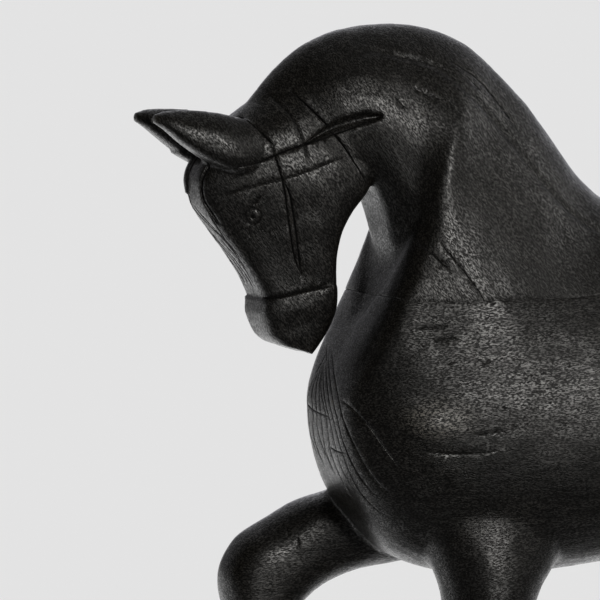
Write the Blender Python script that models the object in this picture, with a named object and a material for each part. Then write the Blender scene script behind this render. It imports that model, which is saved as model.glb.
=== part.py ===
"""A carved, black-stained wooden horse that steps with one foreleg raised, on a low plinth.

Run it with blender --background --python part.py, or from Blender's text editor.
The horse faces -X, its left side faces -Y and +Z is up. The origin is the middle of the plinth's
underside. Sizes are written in millimetres, and MM turns them into Blender's metres.
"""

import math

import bmesh
import bpy
import numpy as np
from mathutils import Matrix, Vector

MM = 0.001

# The plinth, and how far its middle lies behind the horse's own zero
PLINTH_LENGTH = 340.0
PLINTH_WIDTH = 126.0
PLINTH_HEIGHT = 22.0
PLINTH_EDGE = 1.5
STAND_BACK = 25.0
RESTING_GAP = 0.3

# The black stain, nearly neutral with a trace of brown, rubbed to a satin
STAIN = (0.012, 0.011, 0.010)
STAIN_ROUGHNESS = 0.5

# How finely the carving is cut, and how near a cut the surface is made finer
RING_SIDES = 40
HOLLOW_SIDES = 20
RINGS_PER_SPAN = 4
VOXEL = 2.2
SANDING_ROUNDS = 3
HORSE_TRIANGLES = 8600
FINER_NEAR_CUTS = (4.0, 2.0)

# Each row below is one cross-section of the carving, and a smooth skin runs through them in turn:
# the front or upper point (x, z), the back or lower point (x, z), where the section's middle lies
# across the horse, its half width at the first point, halfway and at the second point, and how
# square it is at either end, where 2 is an ellipse and 8 is nearly a box. One number stands for all.
BODY = (
    ((219, 306), (213, 268), 0, (16, 20, 18), 2.2),
    ((214, 322), (206, 244), 0, (29, 38, 34), 2.2),
    ((200, 338), (187, 224), 0, (37, 48, 44), 2.2),
    ((176, 350), (159, 210), 0, (38, 52, 47), 2.2),
    ((146, 351), (129, 201), 0, (37, 51, 49), 2.2),
    ((112, 345), (101, 193), 0, (35, 49, 49), 2.2),
    ((78, 343), (67, 187), 0, (34, 50, 50), 2.2),
    ((50, 350), (28, 183), 0, (33, 50, 52), 2.2),
    ((31, 361), (-18, 180), 0, (32, 49, 53), 2.2),
    ((19.5, 368.5), (-58, 182), 0, (31, 47, 51), 2.2),
    ((9.5, 378), (-88, 192), 0, (29, 45, 46), (2.2, 2.6)),
    ((1, 389), (-106.5, 209), 0, (27, 43, 39), (2.2, 3.5)),
    ((-8, 401), (-118.5, 230), 0, (24, 40, 33), (2.2, 5)),
    ((-18, 413), (-124.8, 254), 0, (21, 37, 29), (2.2, 6)),
    ((-31, 425.5), (-124.2, 277), 0, (18, 34, 25), (2.3, 6)),
    ((-46, 438.3), (-110.5, 304), 0, (16, 31, 7), (2.4, 4)),
    ((-60, 445.7), (-98.5, 320), 0, (15, 28, 10.5), (2.4, 5)),
    ((-78, 450.3), (-93, 336), 0, (14, 25, 14.5), (2.4, 5)),
    ((-98, 451), (-96, 351), 0, (13.5, 23, 14.5), (2.4, 4.5)),
    ((-119, 448), (-98.5, 362), 0, (13, 21.5, 13.5), (2.4, 4.5)),
    ((-137, 440.5), (-102, 370.5), 0, (12.5, 20, 15), (2.4, 4.5)),
    ((-152, 428.5), (-105, 376), 0, (12, 18, 18), (2.4, 4)),
    ((-165, 413), (-112, 380), 0, (12, 18, 18), (2.6, 3)),
)

HEAD = (
    ((-161, 416), (-112, 398), 0, (12, 17, 17), 2.8),
    ((-178, 404), (-108, 389), 0, (13, 19, 19), (3.5, 3)),
    ((-186.5, 392.5), (-103, 381), 0, (12.8, 20, 20), (5, 4)),
    ((-193.2, 381), (-104, 376), 0, (12.2, 20, 20), (7, 5)),
    ((-192.8, 372), (-108, 370), 0, (11.4, 19.5, 20), (8, 6)),
    ((-190, 364), (-114, 363), 0, (10.8, 18.5, 19.5), (8, 6)),
    ((-182.5, 354), (-120, 353), 0, (10.8, 17.5, 19), (8, 6)),
    ((-174, 343), (-122.8, 342), 0, (11.6, 16.5, 18), (8, 6)),
    ((-166.3, 332), (-123, 331), 0, (12.6, 15.8, 17), (8, 6)),
    ((-161, 322), (-122.5, 320), 0, (13.2, 15.6, 16), (8, 6)),
    ((-160.6, 314), (-123.5, 311), 0, (13.4, 15.4, 15), (8, 5)),
    ((-158, 304), (-128, 302), 0, (12.8, 14.6, 13.5), (7, 5)),
    ((-152, 299), (-134.5, 293.5), 0, (12.2, 13.6, 12.5), (6, 5)),
)

# The left foreleg carries the weight
FORELEG_DOWN = (
    ((-82, 250), (-12, 262), -12, 13, 2.2),
    ((-90, 222), (0, 222), -17, (20, 21, 18), 2.2),
    ((-81, 198), (-8, 194), -22.5, (18, 20, 16), 2.2),
    ((-73.5, 177), (-22, 174), -26, (16, 18, 15), 2.2),
    ((-72, 156), (-31, 154), -28, 15.5, 2.2),
    ((-72, 136), (-37, 135), -28, 13.5, 2.3),
    ((-73, 118), (-38, 117), -28, 14, 2.6),
    ((-69, 101), (-41, 99), -28, 11.5, 2.4),
    ((-68, 78), (-42, 77), -28, 10.5, 2.4),
    ((-70, 60), (-40, 55), -28, 12.5, 2.4),
    ((-72, 47), (-43, 42), -28, 12.5, 2.4),
    ((-79, 38), (-42, 37), -28, (15.5, 15.5, 14), 2.5),
    ((-85, 24), (-40, 24), -28, (17.5, 18, 15.5), 2.5),
    ((-88, 16), (-39, 16), -28, (18.5, 19, 16), 2.5),
)

# The right foreleg is raised, with the knee forward and the hoof tucked under it
FORELEG_RAISED = (
    ((-80, 240), (-24, 200), 17, 15, 2.2),
    ((-93, 229), (-45, 190), 21, (18, 20, 17), 2.2),
    ((-109, 223), (-74, 185), 25, (17, 18, 15), 2.2),
    ((-127, 217.5), (-94, 182), 28, 16.5, 2.2),
    ((-144, 209), (-109, 177.5), 29, 15.5, 2.2),
    ((-157.5, 201), (-119, 172), 29, 15, 2.4),
    ((-166, 187), (-127, 164.5), 29, 14.5, 2.6),
    ((-165.5, 171), (-130, 156), 29, 14, 2.6),
    ((-157, 153), (-128, 144), 28.5, 11.5, 2.4),
    ((-146, 134), (-120, 126), 28, 10.5, 2.4),
    ((-136, 117), (-109, 109), 28, 11, 2.4),
    ((-128, 107), (-99, 96), 28, 12.5, 2.4),
    ((-121, 98), (-92, 86), 28, 12.5, 2.4),
    ((-121, 88), (-84, 78), 28, (15, 15.5, 14), 2.5),
    ((-118, 73), (-75, 66), 28, (17, 17.5, 15), 2.5),
)

HINDLEG = (
    ((132, 284), (206, 298), 14, 15, 2.2),
    ((114, 254), (213, 268), 22, (18, 22, 19), 2.2),
    ((106, 227), (208, 238), 26.5, (19, 21.5, 18), 2.2),
    ((111, 203), (197, 209), 29, (17, 19, 15), 2.2),
    ((126, 180), (188, 184), 30, (15, 17, 12), 2.2),
    ((143, 160), (187, 165), 30, (13, 14, 11), 2.3),
    ((156, 142), (194, 150), 30, 12, 2.4),
    ((163, 124), (199, 131), 30, 12.5, 2.6),
    ((164, 108), (193, 111), 30, 11.5, 2.5),
    ((159, 88), (185, 90), 30, 10.5, 2.4),
    ((154, 70), (180, 71), 30, 10.5, 2.4),
    ((149, 57), (179, 53), 30, 12.5, 2.4),
    ((146, 46), (175, 42), 30, 12.5, 2.4),
    ((139, 38), (175, 37), 30, (15.5, 15.5, 14), 2.5),
    ((133, 24), (177, 24), 30, (17.5, 18, 15.5), 2.5),
    ((130, 16), (178, 16), 30, (18.5, 19, 16), 2.5),
)
# How far the right and left hind legs stand behind or before that place
RIGHT_HIND_SHIFT = -3.0
LEFT_HIND_SHIFT = -37.0

# Where a standing leg runs into the body it is rounded off more: the middle and the reach
LEG_ROOTS = (((-44, -36, 206), 46), ((152, 36, 240), 52), ((118, -36, 240), 52))
ROOT_ROUNDS = 40

TAIL = (
    ((192, 338), (188, 314), 0, 13, 2.2),
    ((209, 343), (203, 313), 0, 13.5, 2.2),
    ((226, 339), (212, 308), 0, 14.5, 2.2),
    ((240, 322), (217, 297), 0, (15, 16, 13), 2.2),
    ((247, 296), (217, 281), 0, (15, 18, 13), 2.2),
    ((249, 262), (216, 256), 0, (15, 19.5, 14), 2.2),
    ((249, 224), (216, 224), 0, (14, 19, 14), 2.2),
    ((248, 186), (219, 189), 0, (12, 16.5, 12), 2.2),
    ((247, 152), (224, 156), 0, (9, 12.5, 9), 2.2),
    ((247, 124), (232, 128), 0, (5, 7.5, 5), 2.2),
    ((249, 106), (243, 107), 0, 2.2, 2.2),
)

# The ear is a pointed scoop, open below: its back and its open edge in side view, its half width
EAR = (
    ((-146, 398), (-144, 386), 2, 6, 2.4),
    ((-158, 402.5), (-156, 383), 6.5, 8, 2.4),
    ((-170, 406.5), (-168, 381), 10.5, (5, 8.5, 8), (2.2, 3)),
    ((-182, 409.5), (-179.5, 382.5), 12, (3.4, 8, 7.2), (2.4, 5)),
    ((-194, 411.3), (-191.5, 387.8), 12, (2.6, 7.2, 6.2), (2.4, 7)),
    ((-204, 411.7), (-203, 395.4), 12, (2.4, 6, 5.4), (2.4, 7)),
    ((-211.5, 411.3), (-211.5, 402.2), 12, (2.2, 4.4, 4.0), (2.4, 6)),
    ((-217.5, 409.4), (-217.8, 405.8), 12, 2.4, 3),
)
EAR_HOLLOW = (
    ((-178, 401), (-177, 395), 8.2, 2, 2.2),
    ((-185, 404.5), (-184, 389.5), 8, 4.2, 2.2),
    ((-194, 406.5), (-193, 391.5), 7.8, 4.4, 2.2),
    ((-203, 407), (-202.5, 398.5), 8.2, 3.6, 2.2),
    ((-210, 407.5), (-209.6, 404), 8.8, 2, 2.2),
)

# The left ear is scooped less, from further in
LEFT_HOLLOW_IN = 3.5

# Lines cut into both sides with a V gouge, as (x, z) points
BROW_STRAP = ((-181, 383.5), (-168, 386), (-160, 389), (-150, 392.6), (-140.4, 395.3),
              (-128.5, 398.8), (-117, 402.4), (-105.4, 407))
LOWER_STRAP = ((-185, 370.8), (-167.7, 375.6), (-155.3, 378.4), (-142.4, 381.9), (-122.6, 389))
CHEEK_FRONT = ((-160.2, 394.2), (-157.2, 386.2), (-153.6, 372.4), (-150.7, 356.2), (-147.4, 341.4),
               (-143.7, 332.3))
CHEEK_BACK = ((-155.1, 378.1), (-151.2, 371.4), (-147.9, 356.7), (-145.2, 341.5), (-143.7, 332.3))
CROWN_STRAP = ((-174.2, 410.5), (-165.4, 401.7), (-158.7, 394.1))
POLL_LINE = ((-158.7, 421.1), (-148.9, 407.6), (-144.8, 397.6), (-141.4, 385.4))
THROAT_STRAP = ((-147.1, 419.7), (-136.3, 408.9), (-128.5, 400.3), (-120.1, 389.7), (-110.1, 374.2))
NOSE_STRAP = ((-166, 321), (-153.4, 322.5), (-144.3, 324.4), (-130.5, 327))
MANE_EDGE = ((-118, 434), (-103.7, 438.5), (-90.5, 435.4), (-73, 430.9), (-58, 419), (-39.4, 401.1),
             (-24, 382), (-8, 364), (12, 350), (36, 343))
TAIL_LOCKS = (
    ((206, 330), (224, 322), (233, 300), (237, 262), (238, 224), (240, 170), (247, 120)),
    ((216, 318), (225, 300), (227, 262), (227, 224), (231, 180), (241, 130)),
)
# Every such line with its width and depth
SIDE_CUTS = (
    *((line, 2.0, 1.0) for line in (BROW_STRAP, LOWER_STRAP, CHEEK_FRONT, CHEEK_BACK, THROAT_STRAP)),
    *((line, 2.0, 0.8) for line in (CROWN_STRAP, NOSE_STRAP)),
    (POLL_LINE, 3.0, 0.7),
    (MANE_EDGE, 3.4, 1.2),
    *((line, 3.4, 1.4) for line in TAIL_LOCKS),
)

# A side cut shallows out over this share of its length, down to this share of its depth
CUT_RUN_OUT = 0.08
CUT_END_DEPTH = 0.35

# The eye is a ring round a small pit, cut in both sides, each with its width and depth
EYE = (-168.5, 360.9)
EYE_RADIUS = 3.4
EYE_RING_CUT = (1.6, 0.8)
EYE_PIT_CUT = (2.4, 0.9)

# The leaf-shaped hollow behind the ear, by its middle line, its greatest width and its depth
LEAF = ((-144, 394.5), (-134, 399.5), (-124, 403.5), (-114, 406), (-104.5, 407.3))
LEAF_WIDTH = 7.0
LEAF_DEPTH = 2.0
LEAF_POINT = 0.02

# The forelock lies down the middle of the face, as (y, z) points of its left edge
FORELOCK_EDGE = ((-7, 388), (-7, 371), (-4, 358), (0, 346))
FORELOCK_CUT = (2.0, 1.2)
FACE_END = -160.0

# A ring is cut round each leg above the hoof: a point of it and the way the leg runs there
CORONETS = (((-62, -28, 38), (0, 1)), ((152, 30, 38), (0, 1)), ((118, -30, 38), (0, 1)),
            ((-103, 28, 82.5), (-0.27, -0.96)))
CORONET_CUT = (2.6, 1.0)
CORONET_REACH = 32.0

# The muzzle stands proud below the nose strap and fades back to the chin
MUZZLE_STEP = 0.9
MUZZLE_BACK = -122.0
MUZZLE_FADE = (16.0, 8.0)

# How far a surface has to face sideways, or forwards, to be cut
FACING_SIDE = 0.3
FACING_FRONT = 0.45


def clear_scene():
    for thing in list(bpy.data.objects):
        bpy.data.objects.remove(thing)


def moved(stations, x=0.0, y=0.0, y_side=1.0):
    """The same sections pushed along or across, or turned to the other side with y_side -1."""
    return [
        ((first[0] + x, first[1]), (second[0] + x, second[1]), middle * y_side + y, widths, square)
        for first, second, middle, widths, square in stations
    ]


def smooth_rows(stations, steps):
    """Catmull-Rom curves through every number of the stations, with steps rows to a span."""
    flat = []
    for first, second, y, widths, square in stations:
        widths = widths if isinstance(widths, tuple) else (widths,) * 3
        square = square if isinstance(square, tuple) else (square,) * 2
        flat.append(np.array((*first, *second, y, *widths, *square), dtype=float))
    padded = [flat[0], *flat, flat[-1]]
    rows = []
    for i in range(1, len(flat)):
        before, here, there, after = padded[i - 1 : i + 3]
        for t in np.arange(steps) / steps:
            rows.append(0.5 * (
                2 * here + (there - before) * t + (2 * before - 5 * here + 4 * there - after) * t**2
                + (3 * here - before - 3 * there + after) * t**3
            ))
    return [*rows, flat[-1]]


def section_points(row, sides):
    """One closed cross-section, a squared ellipse between its two points, in metres."""
    ax, az, bx, bz, y, first_width, middle_width, last_width, first_square, last_square = row
    middle = Vector(((ax + bx) / 2 - STAND_BACK, y, (az + bz) / 2))
    reach = Vector(((ax - bx) / 2, 0, (az - bz) / 2))
    points = []
    for side in range(sides):
        angle = 2 * math.pi * side / sides
        square = first_square if math.cos(angle) > 0 else last_square
        along, across = (
            math.copysign(abs(v) ** (2 / square), v) for v in (math.cos(angle), math.sin(angle))
        )
        bow = (first_width + last_width) / 2 - middle_width
        width = middle_width + (first_width - last_width) / 2 * along + bow * along**2
        points.append((middle + reach * along + Vector((0, across * width, 0))) * MM)
    return points


def add_skin(bm, stations, sides):
    """Adds the closed skin through the stations to the mesh."""
    rows = smooth_rows(stations, RINGS_PER_SPAN)
    rings = [[bm.verts.new(point) for point in section_points(row, sides)] for row in rows]
    for ring, following in zip(rings, rings[1:]):
        for side in range(sides):
            after = (side + 1) % sides
            bm.faces.new((ring[side], ring[after], following[after], following[side]))
    bm.faces.new(reversed(rings[0]))
    bm.faces.new(rings[-1])


def object_of(name, skins, sides):
    """A new object whose mesh holds one closed skin for each of the station lists."""
    bm = bmesh.new()
    for stations in skins:
        add_skin(bm, stations, sides)
    bmesh.ops.recalc_face_normals(bm, faces=bm.faces)
    mesh = bpy.data.meshes.new(name)
    bm.to_mesh(mesh)
    bm.free()
    thing = bpy.data.objects.new(name, mesh)
    bpy.context.scene.collection.objects.link(thing)
    return thing


def apply_modifiers(thing):
    graph = bpy.context.evaluated_depsgraph_get()
    mesh = bpy.data.meshes.new_from_object(thing.evaluated_get(graph))
    thing.modifiers.clear()
    thing.data = mesh


def wood(name, colour, roughness):
    material = bpy.data.materials.new(name)
    material.use_nodes = True
    shader = material.node_tree.nodes["Principled BSDF"]
    shader.inputs["Base Color"].default_value = (*colour, 1)
    shader.inputs["Roughness"].default_value = roughness
    shader.inputs["Metallic"].default_value = 0.0
    return material


def round_leg_roots(thing):
    roots = thing.vertex_groups.new(name="leg_roots")
    points = np.array([v.co for v in thing.data.vertices]) / MM + (STAND_BACK, 0, 0)
    for middle, reach in LEG_ROOTS:
        weights = 1 - (np.linalg.norm(points - middle, axis=1) / reach) ** 2
        for index in np.flatnonzero(weights > 0):
            roots.add([int(index)], weights[index], "REPLACE")
    smooth = thing.modifiers.new("rounded_roots", "SMOOTH")
    smooth.factor = 0.5
    smooth.iterations = ROOT_ROUNDS
    smooth.vertex_group = "leg_roots"
    apply_modifiers(thing)


def off_line(points, line):
    """How far each flat point lies from the bent line, and how far along the line it is, 0 to 1."""
    line = np.array(line, dtype=float)
    spans = np.linalg.norm(np.diff(line, axis=0), axis=1)
    starts = np.concatenate([[0], np.cumsum(spans)[:-1]])
    nearest = np.full(len(points), np.inf)
    place = np.zeros(len(points))
    for start, end, before, span in zip(line, line[1:], starts, spans):
        along = np.clip((points - start) @ (end - start) / span**2, 0, 1)
        off = np.linalg.norm(points - start - along[:, None] * (end - start), axis=1)
        closer = off < nearest
        nearest[closer] = off[closer]
        place[closer] = (before + along[closer] * span) / spans.sum()
    return nearest, place


def cut_depths(points, normals):
    """The depth that the carving takes off at each point, and how near the next cut is."""
    side_view = points[:, (0, 2)]
    front_view = np.stack([-abs(points[:, 1]), points[:, 2]], axis=1)
    on_side = abs(normals[:, 1]) > FACING_SIDE
    on_face = (normals[:, 0] < -FACING_FRONT) & (points[:, 0] < FACE_END)
    depth = np.zeros(len(points))
    near = np.full(len(points), np.inf)

    def cut(off, width, deep, where, fade=1.0):
        nonlocal depth, near
        taken = np.where(where, deep * fade * np.clip(1 - off / (width / 2), 0, 1), 0)
        depth = np.maximum(depth, taken)
        near = np.minimum(near, np.where(where, off - width / 2, np.inf))

    for line, width, deep in SIDE_CUTS:
        off, place = off_line(side_view, line)
        fade = CUT_END_DEPTH + (1 - CUT_END_DEPTH) * np.minimum(place, 1 - place) / CUT_RUN_OUT
        cut(off, width, deep, on_side, np.minimum(fade, 1))
    off, place = off_line(side_view, LEAF)
    half = LEAF_WIDTH / 2 * np.sqrt(np.sin(np.pi * np.clip(place, LEAF_POINT, 1 - LEAF_POINT)))
    depth = np.maximum(depth, np.where(on_side, LEAF_DEPTH * np.clip(1 - (off / half) ** 2, 0, 1), 0))
    near = np.minimum(near, np.where(on_side, off - half, np.inf))
    cut(off_line(front_view, FORELOCK_EDGE)[0], *FORELOCK_CUT, on_face)
    from_eye = np.linalg.norm(side_view - EYE, axis=1)
    cut(abs(from_eye - EYE_RADIUS), *EYE_RING_CUT, on_side)
    cut(from_eye, *EYE_PIT_CUT, on_side)
    for point, (run_x, run_z) in CORONETS:
        apart = points - point
        close = np.linalg.norm(apart, axis=1) < CORONET_REACH
        cut(abs(apart[:, 0] * run_x + apart[:, 2] * run_z), *CORONET_CUT, close)
    return depth, near


def muzzle_step(points):
    """How far the muzzle stands out at each point."""
    below = np.interp(points[:, 0], *zip(*NOSE_STRAP)) - points[:, 2]
    fade_end, fade_length = MUZZLE_FADE
    proud = MUZZLE_STEP * np.clip(below, 0, 1) * np.clip((fade_end - below) / fade_length, 0, 1)
    return np.where(points[:, 0] < MUZZLE_BACK, proud, 0)


def carve(thing):
    """Cuts the lines and hollows, on a mesh made finer beside them, and saws the soles flat."""
    bm = bmesh.new()
    bm.from_mesh(thing.data)

    def points_and_normals():
        points = np.array([v.co for v in bm.verts]) / MM + (STAND_BACK, 0, 0)
        return points, np.array([v.normal for v in bm.verts])

    for reach in FINER_NEAR_CUTS:
        near = cut_depths(*points_and_normals())[1] < reach
        edges = [edge for edge in bm.edges if near[edge.verts[0].index] and near[edge.verts[1].index]]
        bmesh.ops.subdivide_edges(bm, edges=edges, cuts=1, use_grid_fill=True)
        bmesh.ops.triangulate(bm, faces=[face for face in bm.faces if len(face.verts) > 4])
        bm.verts.index_update()
        bm.normal_update()
    points, normals = points_and_normals()
    depth = cut_depths(points, normals)[0] - muzzle_step(points)
    for vertex, normal, deep in zip(bm.verts, normals, depth):
        vertex.co -= Vector(normal) * deep * MM
    sole = (PLINTH_HEIGHT + RESTING_GAP) * MM
    bmesh.ops.bisect_plane(
        bm, geom=[*bm.verts, *bm.edges, *bm.faces], plane_co=(0, 0, sole), plane_no=(0, 0, 1),
        clear_inner=True,
    )
    bmesh.ops.holes_fill(bm, edges=[edge for edge in bm.edges if edge.is_boundary])
    bmesh.ops.triangulate(bm, faces=bm.faces)
    bm.to_mesh(thing.data)
    bm.free()


def make_horse():
    right_hind = moved(HINDLEG, x=RIGHT_HIND_SHIFT)
    left_hind = moved(HINDLEG, x=LEFT_HIND_SHIFT, y_side=-1)
    left_ear = moved(EAR, y_side=-1)
    skins = (BODY, HEAD, FORELEG_DOWN, FORELEG_RAISED, right_hind, left_hind, TAIL, EAR, left_ear)
    horse = object_of("horse", skins, RING_SIDES)
    remesh = horse.modifiers.new("one_body", "REMESH")
    remesh.mode = "VOXEL"
    remesh.voxel_size = VOXEL * MM
    smooth = horse.modifiers.new("sanded", "SMOOTH")
    smooth.factor = 0.5
    smooth.iterations = SANDING_ROUNDS
    apply_modifiers(horse)
    round_leg_roots(horse)
    carve(horse)
    fewer = horse.modifiers.new("fewer_facets", "DECIMATE")
    fewer.ratio = HORSE_TRIANGLES / len(horse.data.polygons)
    left_hollow = moved(EAR_HOLLOW, y=LEFT_HOLLOW_IN, y_side=-1)
    hollows = object_of("ear_hollows", (EAR_HOLLOW, left_hollow), HOLLOW_SIDES)
    hollows.hide_render = True
    hollows.display_type = "WIRE"
    scoop = horse.modifiers.new("ear_hollows", "BOOLEAN")
    scoop.operation = "DIFFERENCE"
    scoop.object = hollows
    horse.data.materials.append(wood("black_stained_wood", STAIN, STAIN_ROUGHNESS))
    return horse


def make_plinth():
    bpy.ops.mesh.primitive_cube_add(size=1)
    plinth = bpy.context.object
    plinth.name = "plinth"
    size = Vector((PLINTH_LENGTH, PLINTH_WIDTH, PLINTH_HEIGHT)) * MM
    plinth.data.transform(Matrix.Diagonal((*size, 1)))
    plinth.location.z = PLINTH_HEIGHT / 2 * MM
    bevel = plinth.modifiers.new("eased_edges", "BEVEL")
    bevel.width = PLINTH_EDGE * MM
    bevel.segments = 2
    plinth.data.materials.append(wood("black_stained_base", STAIN, STAIN_ROUGHNESS))
    return plinth


clear_scene()
make_horse()
make_plinth()
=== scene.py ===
import math

import bmesh
import bpy
import numpy as np
from mathutils import Matrix, Vector, noise


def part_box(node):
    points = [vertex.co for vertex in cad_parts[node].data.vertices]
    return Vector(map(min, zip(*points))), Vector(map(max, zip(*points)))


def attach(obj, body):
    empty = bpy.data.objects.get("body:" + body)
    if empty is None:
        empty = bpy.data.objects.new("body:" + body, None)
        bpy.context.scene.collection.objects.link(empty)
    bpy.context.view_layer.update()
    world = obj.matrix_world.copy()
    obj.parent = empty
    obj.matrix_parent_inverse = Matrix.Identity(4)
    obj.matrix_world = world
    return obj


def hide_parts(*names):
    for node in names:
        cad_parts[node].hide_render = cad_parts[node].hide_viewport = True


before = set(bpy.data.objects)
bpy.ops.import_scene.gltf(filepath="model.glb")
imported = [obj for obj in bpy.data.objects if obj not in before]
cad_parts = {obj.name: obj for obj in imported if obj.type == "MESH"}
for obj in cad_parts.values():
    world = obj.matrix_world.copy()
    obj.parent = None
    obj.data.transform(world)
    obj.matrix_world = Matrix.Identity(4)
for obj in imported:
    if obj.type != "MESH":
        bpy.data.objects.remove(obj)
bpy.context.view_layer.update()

# Sizes below are in millimetres, as a carver would mark them out, and MM turns them into metres.
MM = 0.001


# The plinth
# A low block sawn from one board, its grain running along it. The edges are eased with a plane, and
# it is stained black together with the horse, which stands on it by the soles of three legs.

PLINTH_EDGE = 1.7
PLINTH_CELL = 2.6
PLANE_MARKS = 0.12
PLANE_MARKS_PER_METRE = (18, 70, 70)


def feed(tree, socket, value):
    """Links the socket to the value where that is a socket too, or else sets it."""
    if isinstance(value, bpy.types.NodeSocket):
        tree.links.new(value, socket)
    else:
        socket.default_value = value


def node(tree, kind, inputs=(), **settings):
    """A new shader node with its settings, and its inputs given values or linked."""
    made = tree.nodes.new(kind)
    for name, value in settings.items():
        setattr(made, name, value)
    for socket, value in dict(inputs).items():
        feed(tree, made.inputs[socket], value)
    return made


def math_of(tree, operation, *values):
    return node(tree, "ShaderNodeMath", enumerate(values), operation=operation).outputs[0]


def new_group(name, inputs, outputs):
    """An empty shader group with named sockets, and its two end nodes."""
    group = bpy.data.node_groups.new(name, "ShaderNodeTree")
    for socket, kind, value in inputs:
        made = group.interface.new_socket(socket, in_out="INPUT", socket_type=kind)
        if value is not None:
            made.default_value = value
    for socket, kind in outputs:
        group.interface.new_socket(socket, in_out="OUTPUT", socket_type=kind)
    return group, group.nodes.new("NodeGroupInput"), group.nodes.new("NodeGroupOutput")


def stepped(tree, value, low, high):
    return node(
        tree, "ShaderNodeMapRange", {0: value, 1: low, 2: high}, interpolation_type="SMOOTHSTEP",
    ).outputs[0]


FLOAT, VECTOR = "NodeSocketFloat", "NodeSocketVector"
# The grain, in cells as long and wide as the group is given. A streak gathers the pores and fibres
# into bands; each pair is where a noise starts and ends to count.
FIBRE_NOISE = {"Scale": 1.0, "Detail": 2.0, "Roughness": 0.6}
STREAK_NOISE = {"Scale": 0.27, "Detail": 2.0}
STREAK_STRETCH = (0.3, 1, 1)
PORE_CELLS = {"Scale": 0.55, "Randomness": 1.0}
PORE_RIM = (0.14, 0.34)
PORES_IN_STREAK = (0.40, 0.56)
FIBRES_IN_STREAK = (0.38, 0.6)
FIBRES_OUT_OF_STREAK = 0.5
FIBRE_RIM = (0.44, 0.62)
STREAK_HEIGHT = 0.8
PORE_HEIGHT = -0.45


def make_pores_group():
    """Open pores and raised fibres, as short dashes along the grain, which runs along the vector's X."""
    group, given, out = new_group(
        "open_pores",
        [("Vector", VECTOR, None), ("Length", FLOAT, 3.2), ("Width", FLOAT, 0.8)],
        [("Height", FLOAT), ("Pores", FLOAT), ("Fibres", FLOAT)],
    )
    length, width = given.outputs["Length"], given.outputs["Width"]
    cell = node(group, "ShaderNodeCombineXYZ", {0: length, 1: width, 2: width}).outputs[0]
    metres = node(group, "ShaderNodeVectorMath", {0: cell, "Scale": MM}, operation="SCALE").outputs[0]
    place = node(
        group, "ShaderNodeVectorMath", {0: given.outputs["Vector"], 1: metres}, operation="DIVIDE",
    ).outputs[0]
    fibre = node(group, "ShaderNodeTexNoise", {"Vector": place, **FIBRE_NOISE}).outputs["Fac"]
    stretched = node(
        group, "ShaderNodeVectorMath", {0: place, 1: STREAK_STRETCH}, operation="MULTIPLY",
    ).outputs[0]
    streak = node(group, "ShaderNodeTexNoise", {"Vector": stretched, **STREAK_NOISE}).outputs["Fac"]
    dashes = node(group, "ShaderNodeTexVoronoi", {"Vector": place, **PORE_CELLS}).outputs["Distance"]
    pore = node(
        group, "ShaderNodeMapRange", {0: dashes, 1: PORE_RIM[0], 2: PORE_RIM[1], 3: 1.0, 4: 0.0},
        interpolation_type="SMOOTHSTEP",
    ).outputs[0]
    pores = math_of(group, "MULTIPLY", pore, stepped(group, streak, *PORES_IN_STREAK))
    patches = math_of(
        group, "MULTIPLY_ADD", stepped(group, streak, *FIBRES_IN_STREAK),
        1 - FIBRES_OUT_OF_STREAK, FIBRES_OUT_OF_STREAK,
    )
    raised = math_of(group, "MULTIPLY", stepped(group, fibre, *FIBRE_RIM), patches)
    ground = math_of(group, "MULTIPLY_ADD", streak, STREAK_HEIGHT, fibre)
    height = math_of(group, "MULTIPLY_ADD", pores, PORE_HEIGHT, ground)
    group.links.new(height, out.inputs["Height"])
    group.links.new(pores, out.inputs["Pores"])
    group.links.new(raised, out.inputs["Fibres"])
    return group


WEAR_NOISE = {"Scale": 60.0, "Detail": 3.0}
WEAR_PATCHES = (0.35, 0.65)


def make_wear_group():
    """Where hands and dusters have rubbed the stain: the ridges, broken up by a soft noise."""
    group, given, out = new_group(
        "rubbed_edges",
        [("Vector", VECTOR, None), ("Start", FLOAT, 0.53), ("Full", FLOAT, 0.62)],
        [("Wear", FLOAT)],
    )
    ridge = node(group, "ShaderNodeNewGeometry").outputs["Pointiness"]
    patch = node(
        group, "ShaderNodeTexNoise", {"Vector": given.outputs["Vector"], **WEAR_NOISE},
    ).outputs["Fac"]
    sharp = node(
        group, "ShaderNodeMapRange", {0: ridge, 1: given.outputs["Start"], 2: given.outputs["Full"]},
    ).outputs[0]
    patchy = node(
        group, "ShaderNodeMapRange", {0: patch, 1: WEAR_PATCHES[0], 2: WEAR_PATCHES[1]},
    ).outputs[0]
    group.links.new(math_of(group, "MULTIPLY", sharp, patchy), out.inputs["Wear"])
    return group


PORES, WEAR = make_pores_group(), make_wear_group()


def grouped(tree, group, **inputs):
    made = tree.nodes.new("ShaderNodeGroup")
    made.node_tree = group
    for socket, value in inputs.items():
        feed(tree, made.inputs[socket], value)
    return made.outputs


def blended(tree, share, first, second, kind="FLOAT"):
    """First where share is 0 and second where it is 1."""
    made = tree.nodes.new("ShaderNodeMix")
    made.data_type = kind
    sockets = [s for s in made.inputs if s.enabled]
    for socket, value in zip(sockets, (share, first, second)):
        feed(tree, socket, value)
    return next(s for s in made.outputs if s.enabled)


STAIN_DEEP = (0.0045, 0.0042, 0.0036, 1)
STAIN_THIN = (0.026, 0.023, 0.018, 1)
STAIN_RUBBED = (0.085, 0.074, 0.060, 1)

# The ground of the wood is dull, and the fibres that stand up are rubbed to a polish
GROUND_SHINE = 0.25
POLISH_IOR = 1.7
POLISH_ROUGHNESS = 0.34

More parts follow.
